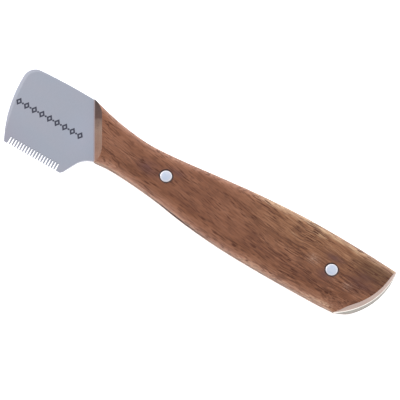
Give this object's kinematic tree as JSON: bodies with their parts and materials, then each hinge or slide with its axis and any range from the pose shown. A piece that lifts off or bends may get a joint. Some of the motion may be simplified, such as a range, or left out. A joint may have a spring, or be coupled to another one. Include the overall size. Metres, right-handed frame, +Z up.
{
  "type": "dog coat stripping knife",
  "caption": "Full-tang grooming knife with a fine-toothed steel blade, rounded wooden scales and flush round pins, for pulling out a dog's dead undercoat.",
  "frame": {"origin": "centre of the knife's footprint, on the surface that it lies on", "axes": "+X along the knife from the blade to the butt, +Y towards the spine (the teeth point to -Y), +Z up through the flat of the blade"},
  "size_m": [0.1598, 0.0316, 0.0124],
  "materials": {
    "blade_steel": "satin stainless steel, fine even grain",
    "scale_wood": "oiled reddish-brown hardwood with open pores",
    "pin_metal": "ground flush and polished"
  },
  "bodies": {
    "root": {"blade": "blade_steel", "top_scale": "scale_wood", "bottom_scale": "scale_wood", "front_pin": "pin_metal", "rear_pin": "pin_metal"}
  },
  "joints": []
}
